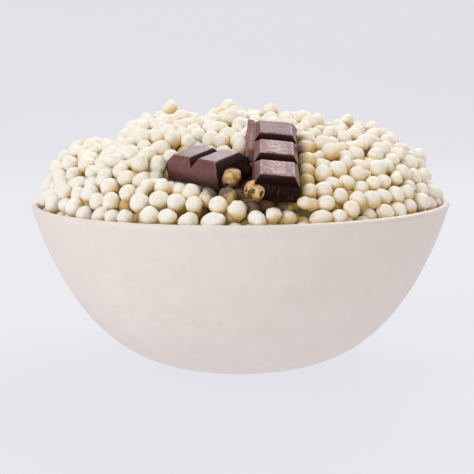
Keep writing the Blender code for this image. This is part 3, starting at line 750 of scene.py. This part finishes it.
def make_bowl(material):
    lip = LIP_WALL / 2
    outer = outer_profile(OUTER_STEPS)
    inner = inner_profile(INNER_STEPS)
    outer = outer[outer[:, 1] < BOWL_HEIGHT - lip]
    inner = inner[inner[:, 1] < BOWL_HEIGHT - lip]
    profile = [(0, FLOOR_THICKNESS), (inner[0, 0] - FLOOR_ROUND, FLOOR_THICKNESS)]
    profile += [tuple(point) for point in inner]
    for turn in np.linspace(math.pi, 0, LIP_STEPS):
        profile.append((RIM_RADIUS - lip + lip * math.cos(turn), BOWL_HEIGHT - lip + lip * math.sin(turn)))
    profile += [tuple(point) for point in outer[::-1]]
    profile += [(FOOT_RADIUS + beyond, above) for beyond, above in FOOT_EDGE]
    profile += [(FOOT_RADIUS, 0), (0, 0)]
    shape = bmesh.new()
    corners = [shape.verts.new((radius, 0, height)) for radius, height in profile]
    for first, second in zip(corners, corners[1:]):
        shape.edges.new((first, second))
    bmesh.ops.spin(
        shape, geom=shape.verts[:] + shape.edges[:], cent=(0, 0, 0), axis=(0, 0, 1), angle=2 * math.pi,
        steps=TURN_STEPS, use_merge=True,
    )
    bmesh.ops.remove_doubles(shape, verts=shape.verts, dist=0.00002)
    bmesh.ops.recalc_face_normals(shape, faces=shape.faces)
    # A thrown bowl is never quite round: its wall wanders by a fraction of a millimetre
    for vert in shape.verts:
        angle = math.atan2(vert.co.y, vert.co.x)
        share = min(vert.co.z / BOWL_HEIGHT, 1)
        waves = 1 + math.sin(3 * angle + 4 * share) * 0.6 + math.sin(7 * angle + 2) * 0.4
        inward = WALL_WANDER * share * waves
        radius = math.hypot(vert.co.x, vert.co.y)
        if radius > WALL_WANDER_FROM:
            vert.co.x *= 1 - inward / radius
            vert.co.y *= 1 - inward / radius
    add_piece("bowl_body", mesh_from("bowl_body", shape), material, "bowl")


def lumps(directions, random, amounts):
    """A smooth random height: waves in random directions, given as (how many, how tight, how high)."""
    height = np.zeros(len(directions))
    for count, tight, high in amounts:
        for _ in range(count):
            wave = random.normal(size=3)
            wave *= tight / np.linalg.norm(wave)
            height += high / count**0.5 * np.sin(directions @ wave * 2 + random.uniform(0, WAVE_TURN))
    return height


def ball_shapes(kind, random, count):
    """Point sets of half size 1 for balls of one kind, and their shared faces."""
    shape = bmesh.new()
    bmesh.ops.create_icosphere(shape, subdivisions=3, radius=1)
    sphere = np.array([vert.co[:] for vert in shape.verts])
    faces = np.array([[vert.index for vert in face.verts] for face in shape.faces])
    shape.free()
    made = []
    for _ in range(count):
        gain = LUMPY_GAIN if kind == "lumpy" else BALL_GAIN
        waves = [(many, tight, high * gain) for many, tight, high in BALL_WAVES]
        points = sphere * (1 + lumps(sphere, random, waves))[:, None]
        if kind == "egg":
            points = points * np.array([*EGG_SIZE[:2], EGG_SIZE[2] + EGG_SPREAD * random.uniform()])
            points[:, :2] *= 1 - EGG_TAPER * sphere[:, 2:]
        elif kind == "twin":
            waist = 1 - TWIN_WAIST * np.exp(-((sphere[:, 2:] / TWIN_WAIST_WIDTH) ** 2))
            points = points * np.array(TWIN_SIZE)
            points[:, :2] *= waist
        made.append(points)
    return made, faces


def random_turn(random):
    turn = Matrix.Identity(3)
    for axis in "XYZ":
        turn = turn @ Matrix.Rotation(random.uniform(0, 2 * math.pi), 3, axis)
    return np.array(turn)


def outward(centres):
    """The heap's surface normal near each ball."""
    step = NORMAL_STEP
    x, y = centres[:, 0], centres[:, 1]
    run = (centre_height(x + step, y) - centre_height(x - step, y)) / (2 * step)
    rise = (centre_height(x, y + step) - centre_height(x, y - step)) / (2 * step)
    run, rise = np.clip(run, -STEEPEST, STEEPEST), np.clip(rise, -STEEPEST, STEEPEST)
    return unit(np.stack([-run, -rise, np.ones(len(x))], axis=1))


def cocoa_dust(points):
    """How much painted shadow the chocolate casts on the balls: most under the torn ends, and a little all
    along the pieces.
    """
    dust = np.zeros(len(points))
    for name in PIECES:
        corner, axes = piece_axes(name)
        local = (points - corner) @ axes
        width, full, end = END_SHADOWS[name]
        local[:, 0] -= np.clip(local[:, 0], 0, width)
        away = np.linalg.norm(local, axis=1)
        torn_end_shadow = np.clip((end - away) / (end - full), 0, 1)
        along_shadow = SIDE_SHADOW * np.clip(1 - box_offsets(points, name)[1] / SIDE_SHADOW_REACH, 0, 1)
        dust = np.maximum(dust, np.maximum(torn_end_shadow, along_shadow))
    return dust


def joined_mesh(name, points, faces, deep):
    """A mesh with each point's painted shade from facing into the heap and its painted shadow from the
    chocolate.
    """
    mesh = bpy.data.meshes.new(name)
    mesh.from_pydata(points.tolist(), [], faces.tolist())
    # Painted shade: the balls' sides beside the bar are as golden as the hollows between the balls
    away = box_offsets(points, "chocolate_bar")[1]
    deep = deep + BAR_SIDE_SHADE * np.clip(1 - away / BAR_SIDE_SHADE_REACH, 0, 1)
    mark_points(mesh, deep=np.clip(deep, 0, 1), dust=cocoa_dust(points))
    mesh.update()
    mesh.shade_smooth()
    return mesh


def make_balls(material):
    """The balls of two layers and the small ones in their holes, one joined mesh for each kind of ball."""
    top = settled_balls(BALL_SLOTS, BALL_SEED, 0.0, LOWEST_CENTRE, PEAKS)
    under = settled_balls(SECOND_SLOTS, SECOND_SEED, SECOND_DEPTH, SECOND_LOWEST, ())
    # The lowest balls of the top layer lie against the lip
    edge = np.clip((BOWL_HEIGHT + LIP_REACH - top[0][:, 2]) / LIP_REACH, 0, 1)[:, None]
    top[0][:, :2] += unit(top[0][:, :2]) * edge * LIP_SHIFT
    fill = filler_balls(*top)
    # Painted shade: the balls of the lower layer are much more golden, and the small ones in the holes a
    # little
    layers = ((top, 0.0), (under, SECOND_SHADE), (fill, FILL_SHADE))
    centres = np.concatenate([layer[0] for layer, _ in layers])
    radii = np.concatenate([layer[1] for layer, _ in layers])
    ball_shade = np.concatenate([np.full(len(layer[0]), amount) for layer, amount in layers])
    out = unit(outward(centres) + np.array(SHADE_LEAN))
    # Painted shade makes the balls at the right front a little darker
    right = np.clip((centres[:, 0] - SHADE_RIGHT[0]) / SHADE_RIGHT[1], 0, 1)
    ball_shade += RIGHT_FRONT_SHADE * right * np.clip((-centres[:, 1] - SHADE_FRONT[0]) / SHADE_FRONT[1], 0, 1)
    random = np.random.default_rng(KIND_SEED)
    draw = random.uniform(size=len(centres))
    kinds = {}
    start = 0.0
    for kind, share in BALL_KINDS:
        kinds[kind] = (draw >= start) & (draw < start + share)
        start += share
    for kind, chosen in kinds.items():
        shapes, faces = ball_shapes(kind, random, KIND_SHAPES)
        points, corners, deep = [], [], []
        for number, ball in enumerate(np.flatnonzero(chosen)):
            shape = shapes[number % len(shapes)] @ random_turn(random).T
            points.append(shape * radii[ball] + centres[ball])
            corners.append(faces + number * len(shape))
            # Painted shade grows on the side of the ball that faces into the heap
            deep.append(0.5 - 0.5 * (shape @ out[ball]) + ball_shade[ball])
        parts = (np.concatenate(values) for values in (points, corners, deep))
        mesh = joined_mesh(f"balls_{kind}", *parts)
        add_piece(f"balls_{kind}", mesh, material, "cereal_heap")


def make_core(material):
    """What shows deep between the balls, filling the bowl under them; its golden colour is painted shade."""
    inner = inner_profile(INNER_STEPS)

    def inside(points):
        x, y = points[..., 0], points[..., 1]
        above = points[..., 2] - BOWL_HEIGHT
        room = np.minimum(np.interp(points[..., 2], inner[:, 1], inner[:, 0]) - CORE_GAP, CORE_RADIUS)
        floor = points[..., 2] > FLOOR_THICKNESS + CORE_GAP
        return (np.hypot(x, y) < room) & (above < centre_height(x, y) - CORE_DEPTH) & floor

    shape = bmesh.new()
    bmesh.ops.create_icosphere(shape, subdivisions=5, radius=10 * MM, matrix=Matrix.Translation(HEAP_MIDDLE))
    points = np.array([vert.co[:] for vert in shape.verts])
    for vert, point in zip(shape.verts, surface_points(unit(points - HEAP_MIDDLE), inside)):
        vert.co = point
    add_piece("heap_under", mesh_from("heap_under", shape), material, "cereal_heap")


def temporary(name, shape):
    bmesh.ops.recalc_face_normals(shape, faces=shape.faces)
    thing = bpy.data.objects.new(name, mesh_from(name, shape))
    bpy.context.scene.collection.objects.link(thing)
    return thing


def box_shape(low, high):
    shape = bmesh.new()
    low, high = Vector(low), Vector(high)
    place = Matrix.Translation((low + high) / 2) @ Matrix.Diagonal((*(high - low), 1))
    bmesh.ops.create_cube(shape, size=1, matrix=place)
    return shape


def chocolate_mesh(name, seed):
    """A moulded bar's segments with V grooves, softened edges and a torn end, in the piece's own frame."""
    width, length, thickness = piece_size(name)
    half = [(0, 0), (DRAFT_INSET, thickness - GROOVE_DEPTH), (SIDE_INSET, thickness)]
    section = half + [(width - x, z) for x, z in reversed(half)]
    shape = bmesh.new()
    face = shape.faces.new([shape.verts.new((x, 0, z)) for x, z in section])
    made = bmesh.ops.extrude_face_region(shape, geom=[face])
    moved = [item for item in made["geom"] if isinstance(item, bmesh.types.BMVert)]
    bmesh.ops.translate(shape, vec=(0, length, 0), verts=moved)
    body = temporary("choc_body", shape)
    helpers = []

    def combine(other, operation):
        helpers.append(other)
        other.hide_render = True
        modifier = body.modifiers.new(operation, "BOOLEAN")
        modifier.operation = operation
        modifier.object = other

    edge_up = Matrix.Rotation(math.pi / 4, 4, "X")
    diagonal = 2 * math.sqrt(2)
    stretch = Matrix.Diagonal((width * 2, GROOVE_HALF_WIDTH * diagonal, GROOVE_DEPTH * diagonal, 1))
    for number in range(PIECES[name][2] + 1):
        shape = bmesh.new()
        bmesh.ops.create_cube(shape, size=1, matrix=stretch @ edge_up)
        at = Vector((width / 2, number * SEGMENT_PITCH, thickness + GROOVE_DEPTH))
        bmesh.ops.translate(shape, vec=at, verts=shape.verts)
        combine(temporary("choc_groove", shape), "DIFFERENCE")
    if name == "chocolate_bar":
        shape = box_shape((-FIN_WIDTH, FIN_RANGE[0], 0.2 * MM), (0, FIN_RANGE[1], FIN_HEIGHT))
        for vert in shape.verts:
            inner = vert.co.x > -FIN_WIDTH / 2
            if vert.co.z > FIN_HEIGHT / 2:
                vert.co.x += FIN_LEAN
                vert.co.z -= FIN_FALL if vert.co.y < sum(FIN_RANGE) / 2 else 0
            elif inner:
                vert.co.x += FIN_ROOT
        combine(temporary("choc_fin", shape), "UNION")
        shape = bmesh.new()
        bmesh.ops.create_icosphere(shape, subdivisions=3, radius=1)
        nub = Matrix.Translation(NUB_CENTRE) @ Matrix.Diagonal((*NUB_SIZE, 1))
        bmesh.ops.transform(shape, matrix=nub, verts=shape.verts)
        combine(temporary("choc_nub", shape), "UNION")
    for piece, centre, half in NUTS.values():
        if piece == name:
            shape = bmesh.new()
            bmesh.ops.create_uvsphere(shape, u_segments=32, v_segments=20, radius=1)
            scale = Matrix.Diagonal((*(value + NUT_CLEARANCE for value in half), 1))
            bmesh.ops.transform(shape, matrix=Matrix.Translation(centre) @ scale, verts=shape.verts)
            combine(temporary("choc_hollow", shape), "DIFFERENCE")
    remesh = body.modifiers.new("Remesh", "REMESH")
    remesh.mode = "VOXEL"
    remesh.voxel_size = VOXEL
    smooth = body.modifiers.new("Smooth", "SMOOTH")
    smooth.factor = 0.5
    smooth.iterations = 5
    graph = bpy.context.evaluated_depsgraph_get()
    graph.update()
    mesh = bpy.data.meshes.new_from_object(body.evaluated_get(graph))
    for thing in [body, *helpers]:
        bpy.data.objects.remove(thing, do_unlink=True)
    roughen(mesh, name, seed)
    mesh.shade_smooth()
    return mesh


def roughen(mesh, name, seed):
    """Roughens the broken faces, marks painted highlights on the tops and painted shade on the sides' feet,
    the tops and the grooves, and gives each face its kind of surface.
    """
    width, length, thickness = piece_size(name)
    count = len(mesh.vertices)
    points = np.empty(count * 3)
    mesh.vertices.foreach_get("co", points)
    points = points.reshape(-1, 3)
    x, y, z = points.T.copy()
    random = np.random.default_rng(seed)

    def close(value, wanted, reach):
        return np.clip(1 - np.abs(value - wanted) / reach, 0, 1)

    low = np.clip((thickness - GROOVE_DEPTH + 0.2 * MM - z) / (0.5 * MM), 0, 1)
    near = np.clip(1 - y / TORN_REACH, 0, 1) * low
    far = np.clip(1 - (length - y) / TORN_REACH, 0, 1) * low
    rough = lumps(points * 1000, random, TORN_WAVES) * MM
    ridge = lumps(points * np.array([1000, 1000, 300]), random, RIDGE_WAVES) * MM
    points[:, 1] += np.clip(rough + ridge, -TORN_IN, TORN_OUT) * near - rough * far
    if name == "chocolate_left":
        # The torn end bulges beside its nut
        across, up = (x - BULGE_PLACE[0]) / BULGE_SPREAD[0], (z - BULGE_PLACE[1]) / BULGE_SPREAD[1]
        points[:, 1] -= BULGE * np.exp(-(across**2) - up**2) * near
    fin = np.clip((-0.1 * MM - x) / (0.3 * MM), 0, 1)
    points[:, 0] -= np.clip(rough + ridge, -0.3 * MM, 0.3 * MM) * fin
    points[:, 2] += 0.8 * rough * fin * np.clip((z - 6 * MM) / (2 * MM), 0, 1)
    if name == "chocolate_bar":
        # The bar's right side is snapped off another row, up to its bevel
        snapped = np.clip((x - width + TORN_REACH) / (0.5 * MM), 0, 1)
        snapped *= np.clip((SNAPPED_TOP - z) / (0.6 * MM), 0, 1)
        points[:, 0] += np.clip(rough + ridge + TORN_IN, 0, TORN_REACH) * snapped
    else:
        snapped = np.zeros(count)
    points += (lumps(points * 1000, random, MOULD_WAVES) * MM)[:, None] * 0.6
    mesh.vertices.foreach_set("co", points.ravel())

    aside = np.abs(y - SEGMENT_PITCH * np.round(y / SEGMENT_PITCH))
    across = np.minimum(x, width - x)
    slope_height = thickness - GROOVE_DEPTH * (1 - aside / GROOVE_HALF_WIDTH)
    bevel_height = thickness - GROOVE_DEPTH * (1 - (across - DRAFT_INSET) / (SIDE_INSET - DRAFT_INSET))
    groove = (np.abs(z - slope_height) < 0.35 * MM) & (slope_height < bevel_height + 0.1 * MM)
    groove &= aside < GROOVE_HALF_WIDTH - 0.1 * MM
    top = np.clip((z - thickness + 0.6 * MM) / (0.4 * MM), 0, 1)
    # Painted highlights along the tops' edges, and across the middle of the bar's tops
    painted_highlight = np.maximum(close(aside, GROOVE_HALF_WIDTH, EDGE_HIGHLIGHT_ALONG), close(across, SIDE_INSET, EDGE_HIGHLIGHT_ACROSS))
    lower = y < 1.9 * SEGMENT_PITCH
    top_highlight = np.exp(-(((x - width / 2) / TOP_HIGHLIGHT_SPREAD) ** 2)) * np.where(lower, TOP_HIGHLIGHT_LOWER, TOP_HIGHLIGHT_UPPER)
    painted_highlight = top * np.maximum(painted_highlight, top_highlight * (name == "chocolate_bar"))
    # Painted shade at the foot of each side, and on the tops
    foot_shade = np.clip((5.5 * MM - z) / (5 * MM), 0, 1) * close(across, 0, 0.8 * MM)
    top_shade = np.where(lower, LOWER_TOP_SHADE, UPPER_TOP_SHADE) + (0 if name == "chocolate_bar" else LEFT_TOP_SHADE)
    plain = np.clip(0.5 + 0.5 * painted_highlight - 0.5 * foot_shade - top * top_shade, 0, 1)
    # In the grooves the tone is painted shade, darkest at the bottom
    tone = np.where(groove, aside / GROOVE_HALF_WIDTH, plain)
    mark_points(mesh, tone=tone)

    kind = np.full(count, MOULDED, np.int32)
    kind[groove] = GROOVE
    kind[np.maximum(near, far) > 0.3] = TORN
    kind[snapped > 0.5] = TORN
    kind[fin > 0.3] = LIT_FIN
    corners = np.empty(len(mesh.loops), np.int32)
    mesh.loops.foreach_get("vertex_index", corners)
    starts = np.empty(len(mesh.polygons), np.int32)
    mesh.polygons.foreach_get("loop_start", starts)
    mesh.polygons.foreach_set("material_index", kind[corners[starts]])
    mesh.update()


def nut_mesh(name, seed):
    """Half a roasted nut, lumpy where it broke, with scraps of its brown skin."""
    half = np.array(NUTS[name][2])
    shape = bmesh.new()
    bmesh.ops.create_icosphere(shape, subdivisions=6, radius=1)
    sphere = np.array([vert.co[:] for vert in shape.verts])
    random = np.random.default_rng(seed)
    height = lumps(sphere, random, NUT_WAVES)
    wander = lumps(sphere, random, NUT_SKIN_WAVES)
    patch = np.zeros(len(sphere))
    for toward, size in NUT_SKIN[name]:
        away = np.linalg.norm(sphere - unit(np.array(toward)), axis=1)
        patch = np.maximum(patch, np.clip(1.0 + wander - away / size, 0, 1))
    height -= 0.10 * np.clip((patch - 0.42) / 0.15, 0, 1)
    taper = 1 + NUT_TAPER * sphere[:, 1:2]
    points = sphere * (0.985 + np.clip(height, -0.2, 0.06))[:, None] * half
    points[:, [0, 2]] *= taper
    for vert, point in zip(shape.verts, points):
        vert.co = point
    mesh = mesh_from(name, shape)
    mark_points(mesh, skin=patch, rim=np.hypot(sphere[:, 0], sphere[:, 2]))
    return mesh


def place_like(thing, piece, offset=(0, 0, 0)):
    corner, axes = piece_axes(piece)
    place = Matrix.Translation(Vector(corner)) @ Matrix([list(row) for row in axes]).to_4x4()
    thing.matrix_world = place @ Matrix.Translation(offset)


def make_toppings():
    surfaces = [chocolate_material(), torn_material(), groove_material(), lit_fin_material()]
    nut = nut_material()
    for seed, name in enumerate(PIECES):
        mesh = chocolate_mesh(name, seed + CHOCOLATE_SEED)
        for surface in surfaces:
            mesh.materials.append(surface)
        place_like(add_piece(f"{name}_moulded", mesh, None, name), name)
    for seed, (name, (piece_name, centre, _)) in enumerate(NUTS.items()):
        piece = add_piece(f"{name}_broken", nut_mesh(name, seed + NUT_SEED), nut, name)
        place_like(piece, piece_name, centre)


# Stage, lights and camera
def make_stage():
    """A plain pale floor that sweeps up into a backdrop."""
    shape = bmesh.new()
    front, back, sweep, top, half_width = -1.6, 1.2, 0.6, 3.0, 3.0
    outline = [(front, 0)]
    for turn in np.linspace(0, math.pi / 2, 12):
        outline.append((back + sweep * math.sin(turn), sweep - sweep * math.cos(turn)))
    outline.append((back + sweep, top))
    corners = [shape.verts.new((-half_width, y, z)) for y, z in outline]
    for first, second in zip(corners, corners[1:]):
        shape.edges.new((first, second))
    made = bmesh.ops.extrude_edge_only(shape, edges=shape.edges[:])
    moved = [item for item in made["geom"] if isinstance(item, bmesh.types.BMVert)]
    bmesh.ops.translate(shape, vec=(2 * half_width, 0, 0), verts=moved)
    floor = temporary("floor", shape)
    look = Shader("floor_look", roughness=0.9, specular=0.1)
    look.out.inputs["Base Color"].default_value = (*FLOOR_COLOUR, 1)
    look.out.inputs["Emission Color"].default_value = (*FLOOR_GLOW, 1)
    look.out.inputs["Emission Strength"].default_value = 1.0
    floor.data.materials.append(look.material)


def add_light(name, place, size, power, colour):
    data = bpy.data.lights.new(name, "AREA")
    data.shape = "RECTANGLE"
    data.size, data.size_y = size
    data.energy = power
    data.color = colour
    light = bpy.data.objects.new(name, data)
    light.location = place
    light.rotation_euler = (Vector(LIGHT_TARGET) - Vector(place)).to_track_quat("-Z", "Y").to_euler()
    bpy.context.scene.collection.objects.link(light)


def make_lights():
    world = bpy.data.worlds.new("studio")
    bpy.context.scene.world = world
    world.use_nodes = True
    shade = world.node_tree.nodes["Background"]
    shade.inputs["Color"].default_value = (*WORLD_COLOUR, 1)
    shade.inputs["Strength"].default_value = WORLD_STRENGTH
    # What shows past the floor's edges is as pale as the floor, without lighting the bowl any more
    beyond = world.node_tree.nodes.new("ShaderNodeBackground")
    beyond.inputs["Color"].default_value = (*FLOOR_GLOW, 1)
    beyond.inputs["Strength"].default_value = BEYOND_STRENGTH
    seen = world.node_tree.nodes.new("ShaderNodeLightPath").outputs["Is Camera Ray"]
    blend = world.node_tree.nodes.new("ShaderNodeMixShader")
    link = world.node_tree.links.new
    link(seen, blend.inputs["Fac"])
    link(shade.outputs["Background"], blend.inputs[1])
    link(beyond.outputs["Background"], blend.inputs[2])
    link(blend.outputs["Shader"], world.node_tree.nodes["World Output"].inputs["Surface"])
    for name, (place, size, power, colour) in LIGHTS.items():
        add_light(name, place, size, power, colour)


def make_camera():
    """Low in front of the bowl, turned a little clockwise, as the photograph was taken."""
    elevation = math.radians(CAMERA_ELEVATION)
    aim = Vector((0, 0, BOWL_HEIGHT))
    place = aim + CAMERA_DISTANCE * Vector((0, -math.cos(elevation), math.sin(elevation)))
    lower = math.atan2(PICTURE_SIZE / 2 - AIM_ROW, FOCAL_LENGTH)
    aside = math.atan2(AIM_COLUMN - PICTURE_SIZE / 2, FOCAL_LENGTH)
    data = bpy.data.cameras.new("camera")
    data.sensor_width = SENSOR_WIDTH
    data.lens = FOCAL_LENGTH * SENSOR_WIDTH / PICTURE_SIZE
    data.clip_start = 0.01
    camera = bpy.data.objects.new("camera", data)
    turn = Matrix.Rotation(aside, 4, "Z") @ Matrix.Rotation(math.pi / 2 - elevation - lower, 4, "X")
    roll = Matrix.Rotation(math.radians(CAMERA_ROLL), 4, "Z")
    camera.matrix_world = Matrix.Translation(place) @ turn @ roll
    bpy.context.scene.collection.objects.link(camera)
    bpy.context.scene.camera = camera


bpy.context.scene.view_settings.view_transform = "Standard"
make_bowl(ceramic_material())
make_balls(cereal_material())
make_core(core_material())
make_toppings()
make_stage()
make_lights()
make_camera()
